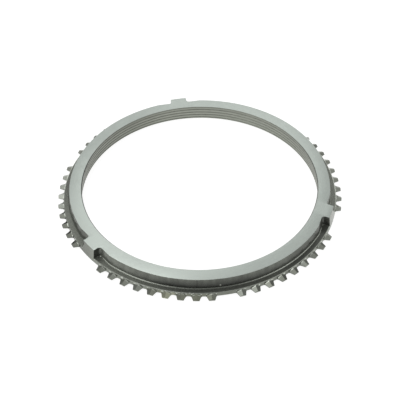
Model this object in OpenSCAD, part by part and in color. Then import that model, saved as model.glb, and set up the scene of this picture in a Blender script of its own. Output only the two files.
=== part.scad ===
// Synchronizer ring of a truck gearbox: one forged and machined steel ring.
// It lies on its wide end face at z = 0, with its axis along +Z and one index lug on +Y.
// The bore is a friction cone with oil grooves, narrow at the top. Outside, a collar carries
// three index lugs, and a flange below it carries the roof-shaped blocking teeth.

/* [Ring] */
// Diameter of the friction cone at the upper face
bore_d = 140; // [120:1:180]
// Half angle of the friction cone, which widens downwards
cone_angle = 6.5; // [5:0.25:8]
// Height between the two end faces
ring_h = 10.1; // [9:0.1:12]
// Width of the ground upper face, from the friction cone to the collar's wall
collar_w = 7; // [6:0.1:9]
// Bevel on both edges of the bore
bore_bevel = 0.4; // [0.1:0.05:0.5]

/* [Oil grooves] */
// Number of grooves round the friction cone
groove_count = 4; // [2:1:4]
// Plain height from the upper face to the middle of the first groove
groove_top_land = 2.4; // [1.5:0.1:3]
// Plain height from the lower face to the middle of the last groove
groove_end_land = 0.95; // [0.9:0.05:1.5]
// Width of a groove at its mouth
groove_w = 0.8; // [0.3:0.05:0.9]
// Width of a groove at its floor
groove_floor_w = 0.25; // [0.1:0.05:0.3]
// Depth of a groove
groove_depth = 0.35; // [0.1:0.05:0.5]

/* [Flange] */
// Reach of the flange's underside beyond the collar's wall
flange_reach = 4.3; // [3.5:0.1:6]
// Thickness of the flange
flange_h = 2.3; // [1.9:0.05:2.8]
// Rounding between the collar's wall and the flange
foot_r = 0.6; // [0.3:0.05:1]
// Draft of the forged outside of the collar, the lugs and the flange, from the axis
draft_angle = 7.8; // [3:0.2:9]

/* [Lower end] */
// Height of the end rim below the flange
rim_h = 1.5; // [0.8:0.1:2]
// Distance of the end rim's side inside the flange's edge
rim_setback = 3.3; // [2.5:0.1:4.5]
// Bevel on the end rim's outer edge
rim_bevel = 0.4; // [0.1:0.1:0.6]

/* [Index lugs] */
// Number of index lugs
lug_count = 3; // [3:1:3]
// Width of a lug between its parallel sides
lug_w = 10; // [8:0.1:12]
// Depth of the flats beside each lug, inside the collar's wall
lug_relief = 1.2; // [0.6:0.1:2]
// Rounding of the corner between a lug's side and its flat
lug_corner_r = 1.6; // [0.8:0.1:2.4]

/* [Blocking teeth] */
// Tooth pitches between two lugs; the middle one and the two beside the lugs stay empty
lug_pitches = 21; // [15:2:25]
// Height of a tooth beyond the flange's edge
tooth_h = 3.15; // [2:0.05:4]
// Width of a tooth at its tip
tooth_tip_w = 3.35; // [2.6:0.05:3.6]
// Angle of a tooth's flanks from the radial direction
flank_angle = 19.5; // [12:0.5:22]
// Thickness of a tooth along its ridge, at the tip
tooth_tip_h = 1; // [0.9:0.05:1.4]
// Fall of the two blocking bevels from the ridge to the flanks
roof_angle = 25; // [15:1:27]
// Rounding between a tooth's flanks and the flange
root_r = 0.6; // [0.2:0.05:0.8]

/* [Hidden] */
$fn = 240;
// Overlap of cutters and seats past the faces that they cut or join
over = 2;
// Depth by which the teeth's upper faces stay below the flange's upper face at their root
tooth_seat = 0.1;
// Depth by which the rounded corners beside the lugs run into their flats
corner_seat = 0.05;

bore_r = bore_d / 2;
collar_r = bore_r + collar_w;
flange_r = collar_r + flange_reach;
rim_r = flange_r - rim_setback;
tip_r = flange_r + tooth_h;
flange_z = rim_h + flange_h;
flange_edge_r = flange_r - flange_h * tan(draft_angle);
lug_top_r = flange_r - (ring_h - rim_h) * tan(draft_angle);
groove_pitch = (ring_h - groove_top_land - groove_end_land) / (groove_count - 1);
flat_r = collar_r - lug_relief;
collar_foot_r = collar_r + ring_h * tan(draft_angle);
flat_end = sqrt(collar_foot_r ^ 2 - flat_r ^ 2);
sector_angle = 360 / lug_count;
tooth_pitch = sector_angle / lug_pitches;
tooth_root_w = tooth_tip_w + 2 * tooth_h * tan(flank_angle);
ridge_root_z = flange_z - tooth_seat;
ridge_fall = atan((flange_h - tooth_seat - tooth_tip_h) / (tip_r - flange_edge_r));

// Radius of the friction cone at height z
function cone_r(z) = bore_r + (ring_h - z) * tan(cone_angle);

// Turned blank: friction cone, end faces, end rim and the drafted outer face at the lugs' full height
module blank() {
    rotate_extrude()
        polygon([
            [cone_r(0) + bore_bevel, 0],
            [rim_r - rim_bevel, 0],
            [rim_r, rim_bevel],
            [rim_r, rim_h],
            [flange_r, rim_h],
            [lug_top_r, ring_h],
            [bore_r + bore_bevel, ring_h],
            [cone_r(ring_h - bore_bevel), ring_h - bore_bevel],
            [cone_r(bore_bevel), bore_bevel],
        ]);
}

// One oil groove round the friction cone, with its middle at height z and flanks that run past its mouth
module oil_groove(z) {
    flank_rise = (groove_w - groove_floor_w) / 2 / groove_depth;
    inner_half = groove_w / 2 + over * flank_rise;
    inner_r = cone_r(z) - over;
    floor_r = cone_r(z) + groove_depth;
    rotate_extrude()
        polygon([
            [inner_r, z - inner_half],
            [floor_r, z - groove_floor_w / 2],
            [floor_r, z + groove_floor_w / 2],
            [inner_r, z + inner_half],
        ]);
}

// Section of what is cut away outside a wall with draft and above the flange, with the rounded foot
module cut_section(wall_r, draft) {
    top_z = ring_h + over;
    outer_r = tip_r + over;
    foot_z = flange_z + foot_r;
    foot_centre = [wall_r + (ring_h - foot_z) * tan(draft) + foot_r / cos(draft), foot_z];
    polygon([
        [outer_r, top_z],
        [wall_r - over * tan(draft), top_z],
        foot_centre - foot_r * [cos(draft), sin(draft)],
        foot_centre,
        foot_centre - [0, foot_r],
        [outer_r, flange_z],
    ]);
    translate(foot_centre)
        circle(foot_r);
}

// Copies of one shape at the three lugs
module at_lugs() {
    for (i = [0:lug_count - 1])
        rotate([0, 0, 90 + i * sector_angle])
            children();
}

// What is cut away round the collar between the lugs
module collar_cut() {
    keep_w = lug_w + 2 * lug_corner_r;
    difference() {
        rotate_extrude()
            cut_section(collar_r, draft_angle);
        at_lugs()
            translate([0, -keep_w / 2, 0])
                cube([tip_r + 2 * over, keep_w, ring_h + 2 * over]);
    }
}

// Cut beside a lug down to the flange: a flat inside the collar's wall, a lug side and a rounded corner
module lug_flat_cut() {
    inner_x = flat_r - over;
    corner_x = flat_r + lug_corner_r - corner_seat;
    corner_y = lug_w / 2 + lug_corner_r;
    outer_x = tip_r + 2 * over;
    intersection() {
        translate([0, flat_end, 0])
            rotate([90, 0, 0])
                linear_extrude(flat_end - lug_w / 2 + over)
                    cut_section(flat_r, draft_angle);
        translate([flat_r, 0, ring_h])
            rotate([0, -draft_angle, 0])
                translate([-flat_r, 0, -ring_h - over])
                    linear_extrude(ring_h + 3 * over)
                        union() {
                            translate([corner_x, corner_y])
                                circle(lug_corner_r);
                            translate([corner_x, lug_w / 2])
                                square([outer_x - corner_x, flat_end]);
                            translate([inner_x, corner_y])
                                square([outer_x - inner_x, flat_end]);
                        }
    }
}

// Band that the teeth are cut from, up to their tip cylinder
module tooth_band() {
    inner_r = flange_edge_r - over;
    rotate_extrude()
        polygon([
            [inner_r, rim_h],
            [tip_r, rim_h],
            [tip_r, flange_z - tooth_seat],
            [inner_r, flange_z - tooth_seat],
        ]);
}

// Plan of a tooth along +X, tapered from its root to beyond its tip
module tooth_plan() {
    inner_x = flange_r - over;
    outer_x = tip_r + over;
    outer_half = tooth_tip_w / 2 - over * tan(flank_angle);
    polygon([
        [inner_x, -tooth_root_w / 2],
        [flange_r, -tooth_root_w / 2],
        [outer_x, -outer_half],
        [outer_x, outer_half],
        [flange_r, tooth_root_w / 2],
        [inner_x, tooth_root_w / 2],
    ]);
}

// Plan of the rounding between one flank of a tooth and the flange
module root_plan() {
    flank_top_h = flange_h - tooth_seat - tooth_root_w / 2 * tan(roof_angle);
    face_r = flange_r - flank_top_h * tan(draft_angle);
    face_x = sqrt(face_r ^ 2 - (tooth_root_w / 2 + root_r) ^ 2);
    corner = [face_x, tooth_root_w / 2 + (flange_r - face_x) * tan(flank_angle)];
    turn = 90 - flank_angle;
    centre = corner + root_r * [1, tan(turn / 2)];
    difference() {
        polygon([
            corner - [over, 0],
            corner,
            centre - root_r * [sin(flank_angle), cos(flank_angle)],
            centre,
            [face_x, centre[1]],
            [face_x - over, centre[1]],
        ]);
        translate(centre)
            circle(root_r);
    }
}

// One blocking tooth along +X: tapered in plan, with two bevels that meet in a falling ridge
module tooth() {
    bevel_half = tooth_root_w;
    intersection() {
        translate([0, 0, rim_h])
            linear_extrude(flange_h + over)
                union() {
                    tooth_plan();
                    root_plan();
                    mirror([0, 1, 0])
                        root_plan();
                }
        translate([flange_edge_r, 0, ridge_root_z])
            rotate([0, ridge_fall, 0])
                rotate([90, 0, 90])
                    linear_extrude(4 * (tooth_h + over), center = true)
                        polygon([
                            [0, 0],
                            [-bevel_half, -bevel_half * tan(roof_angle)],
                            [-bevel_half, -2 * ring_h],
                            [bevel_half, -2 * ring_h],
                            [bevel_half, -bevel_half * tan(roof_angle)],
                        ]);
    }
}

// All blocking teeth, in two groups between each pair of lugs
module teeth() {
    middle = (lug_pitches - 1) / 2;
    intersection() {
        tooth_band();
        at_lugs()
            for (k = [1:lug_pitches - 2])
                if (k != middle)
                    rotate([0, 0, (k + 0.5) * tooth_pitch])
                        tooth();
    }
}

// The whole ring
module synchronizer_ring() {
    color([0.66, 0.70, 0.67])
        union() {
            difference() {
                blank();
                collar_cut();
                at_lugs() {
                    lug_flat_cut();
                    mirror([0, 1, 0])
                        lug_flat_cut();
                }
                for (i = [0:groove_count - 1])
                    oil_groove(ring_h - groove_top_land - i * groove_pitch);
            }
            teeth();
        }
}

synchronizer_ring();
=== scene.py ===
import math

import bmesh
import bpy
from mathutils import Matrix, Vector


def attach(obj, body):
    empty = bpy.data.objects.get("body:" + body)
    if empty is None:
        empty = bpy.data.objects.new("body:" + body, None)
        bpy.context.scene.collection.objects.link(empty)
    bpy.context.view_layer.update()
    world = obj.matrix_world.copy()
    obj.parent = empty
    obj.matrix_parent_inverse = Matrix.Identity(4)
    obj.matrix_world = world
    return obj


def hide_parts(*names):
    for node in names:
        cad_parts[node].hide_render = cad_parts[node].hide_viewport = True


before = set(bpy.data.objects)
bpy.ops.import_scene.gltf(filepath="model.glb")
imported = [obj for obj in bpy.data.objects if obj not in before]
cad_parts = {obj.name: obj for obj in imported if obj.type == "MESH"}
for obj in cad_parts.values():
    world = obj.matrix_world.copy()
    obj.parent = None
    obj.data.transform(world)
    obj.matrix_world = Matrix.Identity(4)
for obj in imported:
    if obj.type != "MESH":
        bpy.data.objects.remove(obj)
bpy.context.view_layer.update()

# Sizes of the ring, in millimetres and degrees. The axis is +Z, and one lug lies on +Y.
MM = 0.001
BORE_R = 69.6
CONE_ANGLE = 6.5
RING_H = 10.1
COLLAR_R = 77.0
BORE_BEVEL = 0.4
GROOVE_COUNT = 4
GROOVE_TOP_LAND = 2.05
GROOVE_END_LAND = 1.3
GROOVE_W = 0.8
GROOVE_FLOOR_W = 0.25
GROOVE_DEPTH = 0.35
FLANGE_R = 81.3
FLANGE_H = 2.3
FLANGE_EDGE_BEVEL = 0.35
FOOT_R = 0.6
FOOT_STEPS = 8
DRAFT_ANGLE = 7.8
RIM_H = 1.5
RIM_R = 78.0
RIM_BEVEL = 0.4
LUG_W = 10.0
LUG_FLAT_X = 75.8
LUG_CORNER_R = 1.6
LUG_COUNT = 3
LUG_PITCHES = 21
TOOTH_H = 3.15
TOOTH_TIP_W = 3.35
TOOTH_TIP_H = 1.0
TOOTH_SEAT = 0.4
FLANK_ANGLE = 19.5
ROOF_ANGLE = 25.0

# Roundings, with their segments, and the angles above which an edge is rounded or shaded as sharp
TOOTH_ROOT_R = 0.6
TOOTH_ROOT_SEGMENTS = 3
EDGE_BEVEL = 0.08
EDGE_SEGMENTS = 2
TOOTH_BEVEL = 0.1
TOOTH_SEGMENTS = 1
SHARP_EDGE = 35.0
SHADED_SHARP = 28.0

# Distances that tell edges and faces apart: heights that are the same or clearly apart, slack in radius,
# and points that are merged
SAME_Z = 0.01
CLEAR_Z = 0.1
CLEAR_R = 0.3
SLACK_R = 0.5
MERGED = 0.001

# Columns of the turned mesh: eight to a tooth pitch, so that flanks, ridges and lugs fall on columns
PITCH_COLUMNS = 8
FLANK_COLUMN = 3
LUG_SIDE_COLUMN = 5
CORNER_END_COLUMN = 8
FLAT_END_COLUMN = 14
ROUND_AGAIN_COLUMN = 22
SECTOR_COLUMNS = LUG_PITCHES * PITCH_COLUMNS
COLUMNS = SECTOR_COLUMNS * LUG_COUNT
FIRST_LUG_COLUMN = COLUMNS // 4
COLUMN_ANGLE = 2 * math.pi / COLUMNS

# Derived sizes
TIP_R = FLANGE_R + TOOTH_H
EDGE_Z = RIM_H + FLANGE_H
DRAFT = math.tan(math.radians(DRAFT_ANGLE))
EDGE_R = FLANGE_R - FLANGE_H * DRAFT
ROOT_HALF = TOOTH_TIP_W / 2 + TOOTH_H * math.tan(math.radians(FLANK_ANGLE))
TIP_HALF = TOOTH_TIP_W / 2
RIDGE_ROOT_Z = EDGE_Z - TOOTH_SEAT
RIDGE_FALL = (RIDGE_ROOT_Z - RIM_H - TOOTH_TIP_H) / (TIP_R - EDGE_R)
ROOF_SLOPE = math.tan(math.radians(ROOF_ANGLE)) / math.cos(math.atan(RIDGE_FALL))


def cone_r(z):
    """Radius of the friction cone at height z."""
    return BORE_R + (RING_H - z) * math.tan(math.radians(CONE_ANGLE))


def draft_r(z):
    """Radius of the drafted outer face of the flange and the lugs at height z."""
    return FLANGE_R - (z - RIM_H) * DRAFT


def wall_r(z):
    """Radius of the collar's drafted wall at height z."""
    return COLLAR_R + (RING_H - z) * DRAFT


def roof_z(x, y):
    """Height of a tooth's two bevels at distance x from the axis and y from the ridge."""
    return RIDGE_ROOT_Z - (x - EDGE_R) * RIDGE_FALL - abs(y) * ROOF_SLOPE


def foot_rows():
    """The rounding from the flange's upper face into the collar's wall."""
    draft = math.radians(DRAFT_ANGLE)
    centre_z = EDGE_Z + FOOT_R
    centre_r = wall_r(centre_z) + FOOT_R / math.cos(draft)
    start = 1.5 * math.pi
    end = math.pi + draft
    rows = []
    for i in range(FOOT_STEPS + 1):
        angle = start + (end - start) * i / FOOT_STEPS
        rows.append(("foot", centre_r + FOOT_R * math.cos(angle), centre_z + FOOT_R * math.sin(angle)))
    return rows


def groove_rows():
    """The oil grooves on the friction cone, from the upper one down."""
    rows = []
    top = RING_H - GROOVE_TOP_LAND
    pitch = (top - GROOVE_END_LAND) / (GROOVE_COUNT - 1)
    for i in range(GROOVE_COUNT):
        z = top - i * pitch
        floor_r = cone_r(z) + GROOVE_DEPTH
        rows.append(("groove", cone_r(z + GROOVE_W / 2), z + GROOVE_W / 2))
        rows.append(("groove", floor_r, z + GROOVE_FLOOR_W / 2))
        rows.append(("groove", floor_r, z - GROOVE_FLOOR_W / 2))
        rows.append(("groove", cone_r(z - GROOVE_W / 2), z - GROOVE_W / 2))
    return rows


def section_rows():
    """The ring's section between the lugs: name, radius and height of each row of points."""
    shoulder_z = roof_z(FLANGE_R, ROOT_HALF)
    return [
        ("lower_inner", cone_r(0) + BORE_BEVEL, 0),
        ("lower_outer", RIM_R - RIM_BEVEL, 0),
        ("rim", RIM_R, RIM_BEVEL),
        ("rim_top", RIM_R, RIM_H),
        ("flange_under", FLANGE_R, RIM_H),
        ("shoulder", draft_r(shoulder_z), shoulder_z),
        ("edge_bevel", draft_r(EDGE_Z - FLANGE_EDGE_BEVEL), EDGE_Z - FLANGE_EDGE_BEVEL),
        ("flange_edge", EDGE_R - FLANGE_EDGE_BEVEL, EDGE_Z),
        *foot_rows(),
        ("collar_edge", COLLAR_R, RING_H),
        ("bore_edge", BORE_R + BORE_BEVEL, RING_H),
        ("bore_bevel", cone_r(RING_H - BORE_BEVEL), RING_H - BORE_BEVEL),
        *groove_rows(),
        ("bore_low", cone_r(BORE_BEVEL), BORE_BEVEL),
    ]


SECTION = section_rows()
ROW_NAMES = [name for name, r, z in SECTION]
OUTER_ROWS = ("flange_under", "shoulder", "edge_bevel", "flange_edge")
LUG_FIRST_ROW = ROW_NAMES.index("flange_edge")
LUG_LAST_ROW = ROW_NAMES.index("collar_edge")


def turned_ring():
    """The section spun round the axis, with each point's row and column kept in layers."""
    bm = bmesh.new()
    row_of = bm.verts.layers.int.new("row")
    column_of = bm.verts.layers.int.new("column")
    verts = []
    for index, (name, r, z) in enumerate(SECTION):
        vert = bm.verts.new((r, 0, z))
        vert[row_of] = index
        verts.append(vert)
    edges = [bm.edges.new(pair) for pair in zip(verts, verts[1:] + verts[:1])]
    bmesh.ops.spin(
        bm, geom=verts + edges, cent=(0, 0, 0), axis=(0, 0, 1), angle=2 * math.pi,
        steps=COLUMNS, use_merge=True,
    )
    for vert in bm.verts:
        vert[column_of] = round(math.atan2(vert.co.y, vert.co.x) / COLUMN_ANGLE) % COLUMNS
    bmesh.ops.recalc_face_normals(bm, faces=bm.faces)
    return bm, row_of, column_of


def lug_and_column(column):
    """The angle of the nearest lug, and the column counted from that lug's middle."""
    shifted = column - FIRST_LUG_COLUMN + SECTOR_COLUMNS // 2
    lug = shifted // SECTOR_COLUMNS
    from_lug = shifted % SECTOR_COLUMNS - SECTOR_COLUMNS // 2
    return (FIRST_LUG_COLUMN + lug * SECTOR_COLUMNS) * COLUMN_ANGLE, from_lug


def tooth_and_column(from_lug):
    """Whether a tooth stands at this column, and the column counted from the tooth's ridge."""
    from_ridge = from_lug % PITCH_COLUMNS - PITCH_COLUMNS // 2
    pitches_to_lug = (abs(from_lug - from_ridge) - PITCH_COLUMNS // 2) // PITCH_COLUMNS
    last = LUG_PITCHES // 2 - 1
    return 1 <= pitches_to_lug <= last, from_ridge


def turned_place(angle, x, y, z):
    """A point given along and across the radial direction at an angle."""
    return Matrix.Rotation(angle, 3, "Z") @ Vector((x, y, z))


def seat_tooth_roots(bm, row_of, column_of):
    """Moves columns of the flange's outer face to the teeth's flanks, and one row to their bevels."""
    for vert in bm.verts:
        name, r, z = SECTION[vert[row_of]]
        if name not in OUTER_ROWS:
            continue
        lug_angle, from_lug = lug_and_column(vert[column_of])
        stands, from_ridge = tooth_and_column(from_lug)
        if not stands or abs(from_ridge) > FLANK_COLUMN:
            continue
        angle = lug_angle + (from_lug - from_ridge) * COLUMN_ANGLE
        y = ROOT_HALF * from_ridge / FLANK_COLUMN
        if name == "shoulder":
            z = roof_z(EDGE_R, y)
            r = draft_r(z)
        vert.co = turned_place(angle, math.sqrt(r * r - y * y), y, z)


def flat_place(from_lug, offset, r):
    """Plan of a row beside a lug: corner rounding, then flat, then the round collar of radius r again."""
    step = abs(from_lug)
    flat_x = LUG_FLAT_X + offset
    corner_y = LUG_W / 2 + LUG_CORNER_R
    if step <= CORNER_END_COLUMN:
        turn = math.pi / 2 * (step - LUG_SIDE_COLUMN) / (CORNER_END_COLUMN - LUG_SIDE_COLUMN)
        return flat_x + LUG_CORNER_R * (1 - math.sin(turn)), corner_y - LUG_CORNER_R * math.cos(turn)
    flat_end_y = math.sqrt(r ** 2 - flat_x ** 2)
    if step <= FLAT_END_COLUMN:
        share = (step - CORNER_END_COLUMN) / (FLAT_END_COLUMN - CORNER_END_COLUMN)
        return flat_x, corner_y + (flat_end_y - corner_y) * share
    share = (step - FLAT_END_COLUMN) / (ROUND_AGAIN_COLUMN - FLAT_END_COLUMN)
    flat_end = math.atan2(flat_end_y, flat_x)
    angle = flat_end + (ROUND_AGAIN_COLUMN * COLUMN_ANGLE - flat_end) * share
    return r * math.cos(angle), r * math.sin(angle)


def cut_lug_flats(bm, row_of, column_of):
    """Squares the flange under the lugs, and moves the wall beside them in to their flats."""
    for vert in bm.verts:
        name, r, z = SECTION[vert[row_of]]
        lug_angle, from_lug = lug_and_column(vert[column_of])
        step = abs(from_lug)
        if step <= LUG_SIDE_COLUMN and name in OUTER_ROWS:
            y = LUG_W / 2 * from_lug / LUG_SIDE_COLUMN
            vert.co = turned_place(lug_angle, math.sqrt(draft_r(z) ** 2 - y * y), y, z)
        if LUG_SIDE_COLUMN <= step <= ROUND_AGAIN_COLUMN and name in ("foot", "collar_edge"):
            x, y = flat_place(from_lug, r - COLLAR_R, r)
            vert.co = turned_place(lug_angle, x, math.copysign(y, from_lug), z)


def extrude(bm, faces):
    """Extrudes faces with their edges and points, each once and in order, and returns the new points."""
    edges = dict.fromkeys(edge for face in faces for edge in face.edges)
    verts = dict.fromkeys(vert for face in faces for vert in face.verts)
    grown = bmesh.ops.extrude_face_region(bm, geom=[*faces, *edges, *verts])["geom"]
    return [item for item in grown if isinstance(item, bmesh.types.BMVert)]


def raise_lugs(bm, row_of, column_of):
    """Extrudes the wall and the flange between the lugs' sides out to their drafted outer faces."""
    faces = []
    for face in bm.faces:
        rows = [vert[row_of] for vert in face.verts]
        steps = [abs(lug_and_column(vert[column_of])[1]) for vert in face.verts]
        if min(rows) >= LUG_FIRST_ROW and max(rows) <= LUG_LAST_ROW and max(steps) <= LUG_SIDE_COLUMN:
            faces.append(face)
    for vert in extrude(bm, faces):
        lug_angle, from_lug = lug_and_column(vert[column_of])
        share = (vert[row_of] - LUG_FIRST_ROW) / (LUG_LAST_ROW - LUG_FIRST_ROW)
        if share == 0:
            continue
        z = EDGE_Z + (RING_H - EDGE_Z) * share
        y = LUG_W / 2 * from_lug / LUG_SIDE_COLUMN
        vert.co = turned_place(lug_angle, math.sqrt(draft_r(z) ** 2 - y * y), y, z)


def raise_teeth(bm, row_of, column_of):
    """Extrudes the teeth from their roots, with tapered flanks and two bevels that fall to the tip."""
    under = ROW_NAMES.index("flange_under")
    shoulder = ROW_NAMES.index("shoulder")
    faces = []
    for face in bm.faces:
        if {vert[row_of] for vert in face.verts} != {under, shoulder}:
            continue
        found = [tooth_and_column(lug_and_column(vert[column_of])[1]) for vert in face.verts]
        if all(stands and abs(from_ridge) <= FLANK_COLUMN for stands, from_ridge in found):
            faces.append(face)
    for vert in extrude(bm, faces):
        lug_angle, from_lug = lug_and_column(vert[column_of])
        stands, from_ridge = tooth_and_column(from_lug)
        y = TIP_HALF * from_ridge / FLANK_COLUMN
        x = math.sqrt(TIP_R ** 2 - y * y)
        z = RIM_H if vert[row_of] == under else roof_z(TIP_R, y)
        vert.co = turned_place(lug_angle + (from_lug - from_ridge) * COLUMN_ANGLE, x, y, z)


def bevel(bm, edges, width, segments):
    """Rounds edges by a width."""
    bmesh.ops.bevel(
        bm, geom=edges, offset=width, offset_type="OFFSET", affect="EDGES", segments=segments,
        profile=0.5, material=-1, clamp_overlap=True, loop_slide=True,
    )


def lowest_and_inmost(edge):
    """The smaller height and the smaller distance from the axis of an edge's two ends."""
    return min(vert.co.z for vert in edge.verts), min(vert.co.xy.length for vert in edge.verts)


def sharp_edges(bm, side):
    """The edges that turn by more than the sharp angle: side 1 for outer edges, -1 for inner corners."""
    sharp = math.radians(SHARP_EDGE)
    whole = [edge for edge in bm.edges if edge.is_manifold]
    return [edge for edge in whole if side * edge.calc_face_angle_signed() > sharp]


def round_tooth_roots(bm):
    """Rounds the upright corners between the teeth's flanks and the flange."""
    roots = []
    for edge in sharp_edges(bm, -1):
        low, inmost = lowest_and_inmost(edge)
        rise = abs(edge.verts[0].co.z - edge.verts[1].co.z)
        if low < RIM_H + SAME_Z and inmost > FLANGE_R - SLACK_R and rise > CLEAR_Z:
            roots.append(edge)
    bevel(bm, roots, TOOTH_ROOT_R, TOOTH_ROOT_SEGMENTS)


def soften_edges(bm):
    """Rounds the sharp outer edges of the collar, the lugs and the teeth."""
    body = []
    teeth = []
    for edge in sharp_edges(bm, 1):
        low, inmost = lowest_and_inmost(edge)
        if low > EDGE_Z + CLEAR_Z and inmost > LUG_FLAT_X - SLACK_R:
            body.append(edge)
        elif inmost > FLANGE_R + CLEAR_R and low < EDGE_Z:
            teeth.append(edge)
    bevel(bm, body, EDGE_BEVEL, EDGE_SEGMENTS)
    bevel(bm, [edge for edge in teeth if edge.is_valid], TOOTH_BEVEL, TOOTH_SEGMENTS)


# Finishes of the ring, in the order of its material slots
GROUND, WALL, RUBBED, FLANGE, LUG_CORNER, FORGED, ROOF, CONE, GROOVE, TURNED = range(10)

# Upward part of the normals that tell level faces, the teeth's bevels and the flange's edge bevel apart
LEVEL_UPWARD = 0.9
ROOF_UPWARD = 0.5
EDGE_UPWARD = 0.7
EDGE_UPWARD_SLACK = 0.15

# Shares of the foot's height at which the flange's and the rubbed finish end, and share of a lug's corner
# that has painted shade
FLANGE_FOOT_SHARE = 0.17
RUBBED_FOOT_SHARE = 0.9
CORNER_SHADE_SHARE = 0.7


def beside_lug(point):
    """Distance of a point from the middle plane of the nearest lug."""
    sector = 2 * math.pi / LUG_COUNT
    angle = (math.atan2(point.y, point.x) - math.pi / 2 + sector / 2) % sector - sector / 2
    return point.xy.length * abs(math.sin(angle))


def over_tooth(point):
    """Whether a point on the flange's outer face lies between the two flanks of a tooth."""
    column = math.floor(math.atan2(point.y, point.x) / COLUMN_ANGLE) % COLUMNS
    stands, from_ridge = tooth_and_column(lug_and_column(column)[1])
    return stands and point.xy.length < FLANGE_R and -FLANK_COLUMN <= from_ridge < FLANK_COLUMN


def finish_of(face):
    """The finish that belongs on a face, from its place on the ring."""
    centre = face.calc_center_median()
    upward = face.normal.z
    r = centre.xy.length
    z = centre.z
    if upward > LEVEL_UPWARD and z > RING_H - CLEAR_Z:
        return GROUND
    if r < cone_r(z) + GROOVE_DEPTH + BORE_BEVEL:
        between_bevels = BORE_BEVEL < z < RING_H - BORE_BEVEL
        in_groove = between_bevels and r > cone_r(z) + GROOVE_DEPTH / 4
        return GROOVE if in_groove else CONE
    if z < RIM_H + SAME_Z:
        return TURNED
    if abs(upward - EDGE_UPWARD) < EDGE_UPWARD_SLACK and EDGE_Z - FLANGE_EDGE_BEVEL < z < EDGE_Z:
        return RUBBED
    if r > draft_r(z) - FLANGE_EDGE_BEVEL:
        return ROOF if upward > ROOF_UPWARD or over_tooth(centre) else FORGED
    if z < EDGE_Z + FOOT_R * FLANGE_FOOT_SHARE:
        return FLANGE
    # Lug corners take the finish with painted shade
    if beside_lug(centre) < LUG_W / 2 + LUG_CORNER_R * CORNER_SHADE_SHARE:
        return LUG_CORNER
    if z < EDGE_Z + FOOT_R * RUBBED_FOOT_SHARE:
        return RUBBED
    return WALL


def build_ring_mesh():
    """The whole ring as one closed mesh in metres, with the finish of each face."""
    bm, row_of, column_of = turned_ring()
    seat_tooth_roots(bm, row_of, column_of)
    cut_lug_flats(bm, row_of, column_of)
    raise_lugs(bm, row_of, column_of)
    raise_teeth(bm, row_of, column_of)
    bmesh.ops.remove_doubles(bm, verts=bm.verts, dist=MERGED)
    bmesh.ops.recalc_face_normals(bm, faces=bm.faces)
    for face in bm.faces:
        face.material_index = finish_of(face)
    round_tooth_roots(bm)
    soften_edges(bm)
    bmesh.ops.scale(bm, vec=(MM, MM, MM), verts=bm.verts)
    mesh = bpy.data.meshes.new("synchronizer_ring_steel")
    bm.to_mesh(mesh)
    bm.free()
    return mesh


def make_ring():
    """The ring piece, which stands for the CAD node."""
    mesh = build_ring_mesh()
    ring = bpy.data.objects.new("ring_steel_body", mesh)
    bpy.context.scene.collection.objects.link(ring)
    mesh.shade_smooth()
    mesh.set_sharp_from_angle(angle=math.radians(SHADED_SHARP))
    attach(ring, "root")
    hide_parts("synchronizer_ring")
    return ring


# Metal share of each finish, then its roughness: cells per metre, smoothest and roughest value
GROUND_GLOSS = (1.0, 220.0, 0.38, 0.44)
WALL_GLOSS = (0.55, 300.0, 0.24, 0.32)
EDGE_GLOSS = (1.0, 400.0, 0.2, 0.3)
FLANGE_GLOSS = (0.55, 400.0, 0.26, 0.36)
CORNER_GLOSS = (0.55, 300.0, 0.24, 0.34)
FORGED_GLOSS = (1.0, 500.0, 0.2, 0.3)
BORE_GLOSS = (0.9, 300.0, 0.34, 0.44)
UNDERSIDE_GLOSS = (1.0, 300.0, 0.32, 0.42)
GROUND_ANISOTROPY = 0.6
GROUND_ANISOTROPY_TURN = 0.25

# Grain in the ring's own directions: cells round the axis, cells per metre of radius, cells per metre of
# height, and detail
GRINDING_LINES = (30.0, 2600.0, 0.0, 2.0)
WALL_STREAKS = (30.0, 30.0, 60.0, 3.0)
WALL_PATCHES = (11.0, 30.0, 60.0, 2.0)
CONE_LINES = (20.0, 0.0, 4000.0, 2.0)
UNDERSIDE_LINES = (12.0, 3000.0, 3000.0, 2.0)

# Blotches: cells per metre, and detail
EDGE_SPOTS = (1500.0, 3.0)
EDGE_GLINT_SPOTS = (1100.0, 1.0)
FLANGE_SPECKS = (1300.0, 3.0)
CORNER_SPOTS = (500.0, 3.0)
FORGED_STAINS = (90.0, 3.0)
ROOF_PATCHES = (700.0, 1.0)
GROOVE_SPOTS = (600.0, 3.0)
ROUGHNESS_DETAIL = 3.0

# Parts of a noise's range over which values, colours, painted glints and patches go from one end to the
# other
NOISE_RANGE = (0.3, 0.7)
COLOUR_RANGE = (0.32, 0.68)
GLINT_RANGE = (0.58, 0.66)
PATCH_RANGE = (0.4, 0.6)

# Parts of the wave from lug to lug over which the unshaded steel near the lugs gives way to painted shade
# midway between them
WAVE_RANGE = (-0.65, 0.35)
FLANGE_WAVE_RANGE = (-0.45, 0.6)

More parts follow.
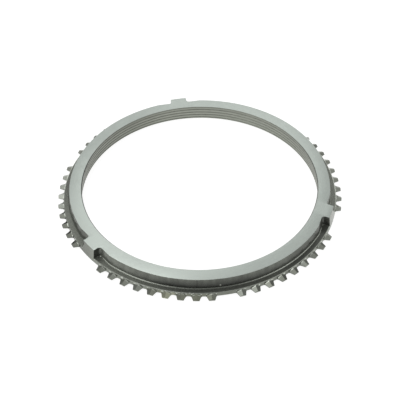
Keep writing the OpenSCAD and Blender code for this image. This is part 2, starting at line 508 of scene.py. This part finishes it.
# Colours of the finishes. A pair goes from the dark to the pale end of its pattern.
GROUND_STEEL = ((0.535, 0.585, 0.545), (0.59, 0.646, 0.601))
GROUND_SHADE = (0.42, 0.46, 0.43)
GROUND_HIGHLIGHT = (0.64, 0.70, 0.65)
BORE_EDGE_DARK_REFLECTION = (0.09, 0.094, 0.086)
WALL_UNSHADED = ((0.135, 0.144, 0.124), (0.21, 0.224, 0.194))
WALL_SHADED = ((0.065, 0.069, 0.059), (0.178, 0.189, 0.163))
WALL_DEEP_SHADE = (0.028, 0.0298, 0.0255)
WALL_PAINTED_LIGHT = (0.23, 0.244, 0.212)
WALL_LUG_SHADE = (0.105, 0.111, 0.096)
WALL_FOOT_HIGHLIGHT = (0.33, 0.35, 0.305)
WALL_SEAM = (0.02, 0.02, 0.018)
WALL_SPECK = (0.3, 0.312, 0.276)
EDGE_RUBBED = ((0.6, 0.635, 0.563), (0.84, 0.885, 0.79))
EDGE_DULL_AND_SHADED = ((0.15, 0.16, 0.14), (0.27, 0.286, 0.255))
EDGE_GLINT = (0.95, 0.97, 0.92)
FLANGE_UNSHADED = ((0.15, 0.16, 0.138), (0.23, 0.245, 0.212))
FLANGE_SHADED = ((0.09, 0.0955, 0.083), (0.16, 0.17, 0.147))
FLANGE_SHADE = (0.075, 0.08, 0.07)
CORNER_SHADE = ((0.05, 0.053, 0.046), (0.09, 0.095, 0.083))
FORGED_UNSHADED = ((0.25, 0.264, 0.226), (0.31, 0.329, 0.295))
FORGED_SHADED = ((0.185, 0.195, 0.165), (0.24, 0.255, 0.227))
FORGED_OLIVE = (0.215, 0.223, 0.16)
FORGED_TOOTH_SHADE = (0.125, 0.132, 0.114)
FORGED_HIGHLIGHT = (0.4, 0.418, 0.375)
FORGED_GREASE = (0.42, 0.432, 0.32)
FORGED_GLINT = (0.9, 0.93, 0.88)
FORGED_FLANGE_SHADED = (0.1, 0.105, 0.092)
ROOF_ROOT_HIGHLIGHT = (0.52, 0.546, 0.494)
CONE_TURNED = ((0.26, 0.273, 0.236), (0.315, 0.332, 0.288))
CONE_UPPER = (0.225, 0.236, 0.204)
CONE_SHADE = (0.2, 0.21, 0.18)
CONE_UPPER_DEEP_SHADE = (0.165, 0.173, 0.149)
CONE_BEVEL = (0.3, 0.315, 0.272)
GROOVE_TURNED_AND_SHADED = ((0.21, 0.22, 0.19), (0.275, 0.289, 0.25))
GROOVE_DEEP_SHADE = (0.15, 0.158, 0.136)
UNDERSIDE_STEEL = ((0.36, 0.38, 0.36), (0.44, 0.46, 0.44))

# Stretches round the ring with a look of their own, most of them painted shade, painted highlights or
# painted glints. Each gives its azimuth, its half width and its half width with the fades at its ends, all
# in degrees, and the strength of the look.
BORE_EDGE_DARK_REFLECTION_AT = [(186.0, 27.0, 40.0, 1.0), (338.0, 28.0, 42.0, 0.6)]
BORE_SHADE_AT = [(140.0, 22.0, 42.0, 0.55)]
WALL_FRONT_SHADE_AT = [(258.0, 12.0, 56.0, 1.0)]
WALL_SEAM_AT = [(258.8, 0.12, 0.3, 0.6)]
EDGE_SHADE_AT = [(188.0, 16.0, 22.0, 1.0), (264.0, 6.0, 29.0, 1.0)]
EDGE_GLINTS_AT = [(241.0, 13.0, 20.0, 1.0)]
FLANGE_SHADE_AT = [(312.0, 10.0, 20.0, 0.8)]
FORGED_UNSHADED_AT = [(20.0, 30.0, 45.0, 1.0), (135.0, 18.0, 26.0, 1.0)]

# Marks of a finish, most of them painted shade or painted highlights: a colour, and the stretches that
# have it
# Painted shade in one stretch of the upper face, and painted highlights in two others
GROUND_PAINTED_LIGHT = (
    (GROUND_SHADE, [(125.0, 8.0, 32.0, 0.5)]),
    (GROUND_HIGHLIGHT, [(260.0, 6.0, 24.0, 0.7), (200.0, 12.0, 30.0, 0.7)]),
)
# Painted light on the left of the wall, and painted shade near two lugs
WALL_LIGHT_MARKS = (
    (WALL_PAINTED_LIGHT, [(168.0, 12.0, 22.0, 1.0)]),
    (WALL_LUG_SHADE, [(197.0, 5.0, 11.0, 1.0), (314.0, 9.0, 18.0, 1.0)]),
)
# Painted shade on some teeth, painted highlights on others and a painted glint on one
FORGED_MARKS = (
    (FORGED_OLIVE, [(253.0, 8.0, 16.0, 0.4)]),
    (FORGED_TOOTH_SHADE, [(195.0, 7.0, 18.0, 1.0), (296.5, 4.0, 7.0, 0.6)]),
    (FORGED_HIGHLIGHT, [(161.5, 3.5, 5.5, 0.45), (173.5, 2.2, 3.5, 0.45), (139.0, 10.0, 16.0, 1.0)]),
    (FORGED_GREASE, [(247.5, 2.2, 3.2, 0.6)]),
    (FORGED_GLINT, [(24.2, 2.2, 3.2, 1.0)]),
)

# A pale speck on the wall: azimuth in degrees, then radius, height and size in millimetres
WALL_SPECK_AT = (268.0, 77.6, 5.6, 0.3)

# Radii or heights, in millimetres, between which one look gives way to another
GROUND_INNER_EDGE = (BORE_R + 0.42, BORE_R + 0.6)
WALL_SHADE_DEEPENS = (9.8, 5.4)
WALL_FOOT_HIGHLIGHT_ENDS = (4.4, 5.6)
FOOT_TO_FLANGE_EDGE = (79.5, 80.5)
FLANGE_TO_TOOTH = (FLANGE_R + 0.1, FLANGE_R + 0.5)
ROOF_HIGHLIGHT_ENDS = (EDGE_R + 0.45, EDGE_R + 0.65)
CONE_UPPER_STARTS = (7.6, 8.6)
CONE_BEVEL_STARTS = (9.65, 9.75)

# Strengths of looks, from 0 to 1
SMUDGE_SHARE = 0.5
WALL_TOP_SHADE = 0.1
WALL_FOOT_HIGHLIGHT_AT_SIDES = 0.6
WALL_FOOT_HIGHLIGHT_AT_FRONT = 0.1
FLANGE_EDGE_SHADE_MOST = 0.65
FLANGE_EDGE_DULL_LEAST = 0.35
FORGED_FLANGE_SHADE = 0.3
ROOF_HIGHLIGHT_LEAST = 0.2
CONE_UPPER_SHADE = 0.5
CONE_BEVEL_PALE = 0.8
SHADE_HIDES_BEVEL = 0.5


def add_node(tree, kind, **settings):
    """A new shader node with its settings."""
    made = tree.nodes.new(kind)
    for name, value in settings.items():
        setattr(made, name, value)
    return made


def feed(tree, socket, value):
    """Sets a socket to a constant, or links another socket to it."""
    if isinstance(value, bpy.types.NodeSocket):
        tree.links.new(value, socket)
    else:
        socket.default_value = value


def maths(tree, operation, first, second):
    """The result of a maths node for two numbers."""
    made = add_node(tree, "ShaderNodeMath", operation=operation)
    feed(tree, made.inputs[0], first)
    feed(tree, made.inputs[1], second)
    return made.outputs[0]


def times(tree, first, second):
    """The product of two numbers."""
    return maths(tree, "MULTIPLY", first, second)


def vector_maths(tree, operation, first, second=None):
    """A maths node for one or two vectors, with its outputs."""
    made = add_node(tree, "ShaderNodeVectorMath", operation=operation)
    feed(tree, made.inputs[0], first)
    if second is not None:
        feed(tree, made.inputs[1], second)
    return made.outputs


def place(tree):
    """The place of a point on the ring."""
    return add_node(tree, "ShaderNodeTexCoord").outputs["Object"]


def place_parts(tree):
    """The x, y and z of a point on the ring."""
    parts = add_node(tree, "ShaderNodeSeparateXYZ")
    feed(tree, parts.inputs[0], place(tree))
    return parts.outputs


def height(tree):
    """The height of a point on the ring above the lower face."""
    return place_parts(tree)["Z"]


def plan_place(tree):
    """The place of a point on the ring as seen from above."""
    return vector_maths(tree, "MULTIPLY", place(tree), (1, 1, 0))[0]


def outward(tree):
    """The direction from the axis to a point on the ring."""
    return vector_maths(tree, "NORMALIZE", plan_place(tree))[0]


def radius(tree):
    """The distance of a point on the ring from the axis."""
    return vector_maths(tree, "LENGTH", plan_place(tree))["Value"]


def noise(tree, spot, cells, detail):
    """Noise at a spot, with a number of cells to a unit of length."""
    made = add_node(tree, "ShaderNodeTexNoise")
    feed(tree, made.inputs["Vector"], spot)
    feed(tree, made.inputs["Scale"], cells)
    feed(tree, made.inputs["Detail"], detail)
    return made.outputs["Fac"]


def blotches(tree, per_metre, detail):
    """Even noise with a number of cells per metre."""
    return noise(tree, place(tree), per_metre, detail)


def grain(tree, around, across, along, detail):
    """Noise in the ring's own directions: cells round the axis, per metre of radius and of height."""
    wide = add_node(tree, "ShaderNodeVectorMath", operation="SCALE")
    feed(tree, wide.inputs[0], outward(tree))
    feed(tree, wide.inputs["Scale"], around)
    level = maths(tree, "ADD", times(tree, radius(tree), across), times(tree, height(tree), along))
    lift = add_node(tree, "ShaderNodeCombineXYZ")
    feed(tree, lift.inputs["Z"], level)
    spot = vector_maths(tree, "ADD", wide.outputs[0], lift.outputs[0])[0]
    return noise(tree, spot, 1.0, detail)


def between(tree, pattern, low, high, limits=NOISE_RANGE):
    """A number that goes between two values while a pattern goes from one limit to the other."""
    made = add_node(tree, "ShaderNodeMapRange")
    feed(tree, made.inputs["Value"], pattern)
    feed(tree, made.inputs["From Min"], limits[0])
    feed(tree, made.inputs["From Max"], limits[1])
    feed(tree, made.inputs["To Min"], low)
    feed(tree, made.inputs["To Max"], high)
    return made.outputs[0]


def over_span(tree, length, low, high, span):
    """A number that goes between two values over a span of a radius or a height, given in millimetres."""
    return between(tree, length, low, high, (span[0] * MM, span[1] * MM))


def colours(tree, pattern, dark, pale):
    """A colour that follows a pattern between two colours."""
    ramp = add_node(tree, "ShaderNodeValToRGB")
    feed(tree, ramp.inputs["Fac"], pattern)
    for stop, position, colour in zip(ramp.color_ramp.elements, COLOUR_RANGE, (dark, pale)):
        stop.position = position
        stop.color = (*colour, 1)
    return ramp.outputs["Color"]


def blend(tree, share, first, second):
    """A colour between two colours, each of which is a colour or a socket."""
    made = add_node(tree, "ShaderNodeMix", data_type="RGBA")
    feed(tree, made.inputs["Factor"], share)
    for socket, colour in zip((made.inputs[6], made.inputs[7]), (first, second)):
        feed(tree, socket, colour if isinstance(colour, bpy.types.NodeSocket) else (*colour, 1))
    return made.outputs[2]


def midway(tree, limits):
    """0 near the lugs to 1 midway between them, where the finishes have painted shade."""
    x, y, z = place_parts(tree)
    turn = times(tree, maths(tree, "ARCTAN2", y, x), LUG_COUNT)
    return between(tree, maths(tree, "SINE", turn, 0), 0, 1, limits)


def towards(tree, azimuth, full, none, strength):
    """A strength within an angle of an azimuth, falling to 0 at a wider angle, all in degrees."""
    angle = math.radians(azimuth)
    aligned = vector_maths(tree, "DOT_PRODUCT", outward(tree), (math.cos(angle), math.sin(angle), 0))
    limits = (math.cos(math.radians(full)), math.cos(math.radians(none)))
    return between(tree, aligned["Value"], strength, 0, limits)


def where(tree, stretches):
    """The strength of a look at a point, from the stretches round the ring that have it."""
    strengths = [towards(tree, *stretch) for stretch in stretches]
    strongest = strengths[0]
    for strength in strengths[1:]:
        strongest = maths(tree, "MAXIMUM", strongest, strength)
    return strongest


def marked(tree, colour, marks):
    """A colour with the marks of a finish laid over it, one after the other."""
    for mark, stretches in marks:
        colour = blend(tree, where(tree, stretches), colour, mark)
    return colour


def speck(tree, azimuth, out, up, size):
    """1 at a small spot on the ring, given in degrees and millimetres, falling to 0 at twice its size."""
    angle = math.radians(azimuth)
    centre = (out * math.cos(angle) * MM, out * math.sin(angle) * MM, up * MM)
    away = vector_maths(tree, "DISTANCE", place(tree), centre)["Value"]
    return over_span(tree, away, 1, 0, (size, 2 * size))


def steel(name, metal, cells, smoothest, roughest):
    """A new material with its gloss, its node tree and its shader's sockets."""
    material = bpy.data.materials.new(name)
    material.use_nodes = True
    tree = material.node_tree
    surface = tree.nodes["Principled BSDF"].inputs
    feed(tree, surface["Metallic"], metal)
    uneven = blotches(tree, cells, ROUGHNESS_DETAIL)
    feed(tree, surface["Roughness"], between(tree, uneven, smoothest, roughest))
    return material, tree, surface


def ground_face():
    """Pale satin steel of the upper face with fine grinding lines, painted shade and painted highlights in
    some stretches, and a painted dark reflection along part of its inner edge.
    """
    material, tree, surface = steel("ground_face", *GROUND_GLOSS)
    ground = colours(tree, grain(tree, *GRINDING_LINES), *GROUND_STEEL)
    inner = over_span(tree, radius(tree), 1, 0, GROUND_INNER_EDGE)
    # Painted dark reflection on the inner edge of the upper face at the left and the right
    dark = times(tree, inner, where(tree, BORE_EDGE_DARK_REFLECTION_AT))
    lit_and_shaded = marked(tree, ground, GROUND_PAINTED_LIGHT)
    feed(tree, surface["Base Color"], blend(tree, dark, lit_and_shaded, BORE_EDGE_DARK_REFLECTION))
    feed(tree, surface["Anisotropic"], GROUND_ANISOTROPY)
    feed(tree, surface["Anisotropic Rotation"], GROUND_ANISOTROPY_TURN)
    tangent = add_node(tree, "ShaderNodeTangent", direction_type="RADIAL", axis="Z")
    feed(tree, surface["Tangent"], tangent.outputs[0])
    return material


def collar_wall():
    """Dark wall of the collar with upright smudges, a seam and a speck; painted shade at the front,
    deepening towards the foot, and near two lugs; painted light on the left and a painted highlight above
    the foot.
    """
    material, tree, surface = steel("collar_wall", *WALL_GLOSS)
    streaks = times(tree, grain(tree, *WALL_STREAKS), SMUDGE_SHARE)
    patches = times(tree, grain(tree, *WALL_PATCHES), SMUDGE_SHARE)
    smudges = maths(tree, "ADD", streaks, patches)
    beside = marked(tree, colours(tree, smudges, *WALL_UNSHADED), WALL_LIGHT_MARKS)
    # Painted shade: a shaded copy of the wall's colours at the front, deepening towards the foot
    deep_shade = over_span(tree, height(tree), WALL_TOP_SHADE, 1, WALL_SHADE_DEEPENS)
    dark = blend(tree, deep_shade, colours(tree, smudges, *WALL_SHADED), WALL_DEEP_SHADE)
    front = maths(tree, "MINIMUM", midway(tree, WAVE_RANGE), where(tree, WALL_FRONT_SHADE_AT))
    lit_and_shaded = blend(tree, front, beside, dark)
    # Painted highlight low on the wall above the foot, strong at the sides and faint at the front
    foot_highlight_strength = between(tree, front, WALL_FOOT_HIGHLIGHT_AT_SIDES, WALL_FOOT_HIGHLIGHT_AT_FRONT, (0, 1))
    foot_highlight = times(tree, over_span(tree, height(tree), 1, 0, WALL_FOOT_HIGHLIGHT_ENDS), foot_highlight_strength)
    turned = blend(tree, foot_highlight, lit_and_shaded, WALL_FOOT_HIGHLIGHT)
    seamed = blend(tree, where(tree, WALL_SEAM_AT), turned, WALL_SEAM)
    feed(tree, surface["Base Color"], blend(tree, speck(tree, *WALL_SPECK_AT), seamed, WALL_SPECK))
    return material


def rubbed_edge():
    """Bright turned rounding between the wall and the flange, and the flange's duller edge, with painted
    shade on the left and at the front and painted glints on the edge at the front left.
    """
    material, tree, surface = steel("rubbed_edge", *EDGE_GLOSS)
    spots = blotches(tree, *EDGE_SPOTS)
    at_edge = over_span(tree, radius(tree), 0, 1, FOOT_TO_FLANGE_EDGE)
    # Painted shade on the rounding and the flange's edge in two stretches, less on the edge, over the
    # edge's own duller tone
    most = between(tree, at_edge, 1, FLANGE_EDGE_SHADE_MOST, (0, 1))
    by_stretch = times(tree, where(tree, EDGE_SHADE_AT), most)
    dull_and_shaded = maths(tree, "MAXIMUM", by_stretch, times(tree, at_edge, FLANGE_EDGE_DULL_LEAST))
    lit_and_shaded = blend(tree, dull_and_shaded, colours(tree, spots, *EDGE_RUBBED), colours(tree, spots, *EDGE_DULL_AND_SHADED))
    # Painted glints on the flange's edge at the front left
    glints = between(tree, blotches(tree, *EDGE_GLINT_SPOTS), 0, 1, GLINT_RANGE)
    glinting = times(tree, times(tree, at_edge, where(tree, EDGE_GLINTS_AT)), glints)
    feed(tree, surface["Base Color"], blend(tree, glinting, lit_and_shaded, EDGE_GLINT))
    return material


def flange_face():
    """Dark upper face of the flange, a little speckled, with painted shade midway between the lugs and
    deeper painted shade in one stretch.
    """
    material, tree, surface = steel("flange_face", *FLANGE_GLOSS)
    specks = blotches(tree, *FLANGE_SPECKS)
    lit = colours(tree, specks, *FLANGE_UNSHADED)
    # Painted shade midway between the lugs, and deeper painted shade in one stretch
    lit_and_shaded = blend(tree, midway(tree, FLANGE_WAVE_RANGE), lit, colours(tree, specks, *FLANGE_SHADED))
    feed(tree, surface["Base Color"], blend(tree, where(tree, FLANGE_SHADE_AT), lit_and_shaded, FLANGE_SHADE))
    return material


def lug_corner():
    """Painted shade: near black sides and corners of the lugs."""
    material, tree, surface = steel("lug_corner", *CORNER_GLOSS)
    feed(tree, surface["Base Color"], colours(tree, blotches(tree, *CORNER_SPOTS), *CORNER_SHADE))
    return material


def forged_colour(tree):
    """Mid grey of the forged steel, stained here and there, with painted shade midway between the lugs
    except in two stretches, painted shade on some teeth and painted highlights on others.
    """
    stains = blotches(tree, *FORGED_STAINS)
    # Painted shade midway between the lugs, left off in two stretches
    shadeable = maths(tree, "SUBTRACT", 1, where(tree, FORGED_UNSHADED_AT))
    shade_share = times(tree, midway(tree, WAVE_RANGE), shadeable)
    lit_and_shaded = blend(tree, shade_share, colours(tree, stains, *FORGED_UNSHADED), colours(tree, stains, *FORGED_SHADED))
    return marked(tree, lit_and_shaded, FORGED_MARKS)


def forged_teeth():
    """Forged sides and tips of the teeth, and outer faces of the lugs and the flange, with painted shade
    on the flange's outer face near the teeth's roots.
    """
    material, tree, surface = steel("forged_teeth", *FORGED_GLOSS)
    # Painted shade on the flange's outer face between the teeth, near their roots
    inside = over_span(tree, radius(tree), FORGED_FLANGE_SHADE, 0, FLANGE_TO_TOOTH)
    feed(tree, surface["Base Color"], blend(tree, inside, forged_colour(tree), FORGED_FLANGE_SHADED))
    return material


def tooth_roofs():
    """The teeth's two bevels and the flange's outer face above them, with a patchy painted highlight where
    they meet.
    """
    material, tree, surface = steel("tooth_roofs", *FORGED_GLOSS)
    # Painted highlight in patches where the bevels meet the flange's outer face
    at_root = over_span(tree, radius(tree), 1, 0, ROOF_HIGHLIGHT_ENDS)
    patchy = between(tree, blotches(tree, *ROOF_PATCHES), ROOF_HIGHLIGHT_LEAST, 1, PATCH_RANGE)
    lit = times(tree, at_root, patchy)
    feed(tree, surface["Base Color"], blend(tree, lit, forged_colour(tree), ROOF_ROOT_HIGHLIGHT))
    return material


def friction_cone():
    """Olive grey turned bore, darker near the top, with painted shade on its left side, and its bevels,
    the upper one with a painted dark reflection at the left and the right.
    """
    material, tree, surface = steel("friction_cone", *BORE_GLOSS)
    turned = colours(tree, grain(tree, *CONE_LINES), *CONE_TURNED)
    upper = over_span(tree, height(tree), 0, CONE_UPPER_SHADE, CONE_UPPER_STARTS)
    # Painted shade on the bore's left side, deeper near the top, where it also hides the pale bevel
    left_shade = where(tree, BORE_SHADE_AT)
    shaded = blend(tree, left_shade, blend(tree, upper, turned, CONE_UPPER), CONE_SHADE)
    deep_shaded = blend(tree, times(tree, upper, left_shade), shaded, CONE_UPPER_DEEP_SHADE)
    at_bevel = over_span(tree, height(tree), 0, 1, CONE_BEVEL_STARTS)
    unshaded_bevel = between(tree, left_shade, CONE_BEVEL_PALE, 0, (0, SHADE_HIDES_BEVEL))
    pale = times(tree, at_bevel, unshaded_bevel)
    bevelled = blend(tree, pale, deep_shaded, CONE_BEVEL)
    # Painted dark reflection on the upper bevel at the left and the right
    dark = times(tree, at_bevel, where(tree, BORE_EDGE_DARK_REFLECTION_AT))
    feed(tree, surface["Base Color"], blend(tree, dark, bevelled, BORE_EDGE_DARK_REFLECTION))
    return material


def oil_groove():
    """Grooves of the bore, turned steel darker than the cone by painted shade, and darker still by painted
    shade on the left.
    """
    material, tree, surface = steel("oil_groove", *BORE_GLOSS)
    # Painted shade in the grooves, deeper on the left
    turned = colours(tree, blotches(tree, *GROOVE_SPOTS), *GROOVE_TURNED_AND_SHADED)
    feed(tree, surface["Base Color"], blend(tree, where(tree, BORE_SHADE_AT), turned, GROOVE_DEEP_SHADE))
    return material


def turned_underside():
    """Plain turned steel of the lower end and of the undersides of the flange and the teeth."""
    material, tree, surface = steel("turned_underside", *UNDERSIDE_GLOSS)
    feed(tree, surface["Base Color"], colours(tree, grain(tree, *UNDERSIDE_LINES), *UNDERSIDE_STEEL))
    return material


FINISHES = (
    ground_face, collar_wall, rubbed_edge, flange_face, lug_corner,
    forged_teeth, tooth_roofs, friction_cone, oil_groove, turned_underside,
)

# Camera: lens and sensor in millimetres, place from the middle of the upper face in metres, and angles
LENS = 74.97
SENSOR_WIDTH = 36.0
CLIP_START = 0.01
CAMERA_DISTANCE = (0.000087, -0.36072, 0.33839)
TURN = math.radians(-9.64)
LOOK_DOWN = math.radians(44.538)
ROLL = math.radians(-0.806)

# Floor, light from all round and distance of the softboxes, with lengths in metres
WHITE = (1, 1, 1, 1)
FLOOR_HALF = 20.0
FLOOR_GREY = (0.4, 0.4, 0.4, 1)
FLOOR_ROUGHNESS = 0.9
FLOOR_GLOW = 0.84
WORLD_LIGHT = 0.44
SOFTBOX_DISTANCE = 1.0

# Name, azimuth in the camera's frame and elevation in degrees, width in metres and power of each softbox
SOFTBOXES = (
    ("back_left_softbox", 135, 60, 0.8, 0.6),
    ("left_softbox", 192, 65, 0.7, 1.9),
    ("right_softbox", 0, 60, 0.8, 0.7),
    ("back_softbox", 90, 30, 0.8, 1.15),
)


def make_camera():
    """The camera at the photograph's viewing angle."""
    data = bpy.data.cameras.new("camera")
    data.lens = LENS
    data.sensor_width = SENSOR_WIDTH
    data.sensor_fit = "HORIZONTAL"
    data.clip_start = CLIP_START
    camera = bpy.data.objects.new("camera", data)
    bpy.context.scene.collection.objects.link(camera)
    stand = Matrix.Translation(Vector(CAMERA_DISTANCE) + Vector((0, 0, RING_H * MM)))
    tilt = Matrix.Rotation(math.pi / 2 - LOOK_DOWN, 4, "X") @ Matrix.Rotation(ROLL, 4, "Z")
    camera.matrix_world = Matrix.Rotation(TURN, 4, "Z") @ stand @ tilt
    bpy.context.scene.camera = camera


def make_floor():
    """The plain pale floor under the ring."""
    bm = bmesh.new()
    bmesh.ops.create_grid(bm, x_segments=1, y_segments=1, size=FLOOR_HALF)
    mesh = bpy.data.meshes.new("floor")
    bm.to_mesh(mesh)
    bm.free()
    floor = bpy.data.objects.new("floor", mesh)
    bpy.context.scene.collection.objects.link(floor)
    material = bpy.data.materials.new("pale_floor")
    material.use_nodes = True
    shader = material.node_tree.nodes["Principled BSDF"]
    shader.inputs["Base Color"].default_value = FLOOR_GREY
    shader.inputs["Roughness"].default_value = FLOOR_ROUGHNESS
    shader.inputs["Emission Color"].default_value = WHITE
    shader.inputs["Emission Strength"].default_value = FLOOR_GLOW
    mesh.materials.append(material)


def make_world():
    """The even white light from all round."""
    world = bpy.data.worlds.new("studio")
    bpy.context.scene.world = world
    world.use_nodes = True
    background = world.node_tree.nodes["Background"]
    background.inputs["Color"].default_value = WHITE
    background.inputs["Strength"].default_value = WORLD_LIGHT


def make_softbox(name, azimuth, elevation, width, power):
    """A square soft light that faces the ring from an azimuth in the camera's frame."""
    data = bpy.data.lights.new(name, "AREA")
    data.shape = "SQUARE"
    data.size = width
    data.energy = power
    light = bpy.data.objects.new(name, data)
    bpy.context.scene.collection.objects.link(light)
    turn = Matrix.Rotation(math.radians(azimuth) + TURN, 4, "Z")
    lift = Matrix.Rotation(math.radians(-elevation), 4, "Y")
    stand = Matrix.Translation(Vector((SOFTBOX_DISTANCE, 0, 0)))
    light.matrix_world = turn @ lift @ stand @ Matrix.Rotation(math.pi / 2, 4, "Y")


bpy.context.scene.view_settings.view_transform = "Standard"
make_camera()
ring = make_ring()
for finish in FINISHES:
    ring.data.materials.append(finish())
make_floor()
make_world()
for softbox in SOFTBOXES:
    make_softbox(*softbox)
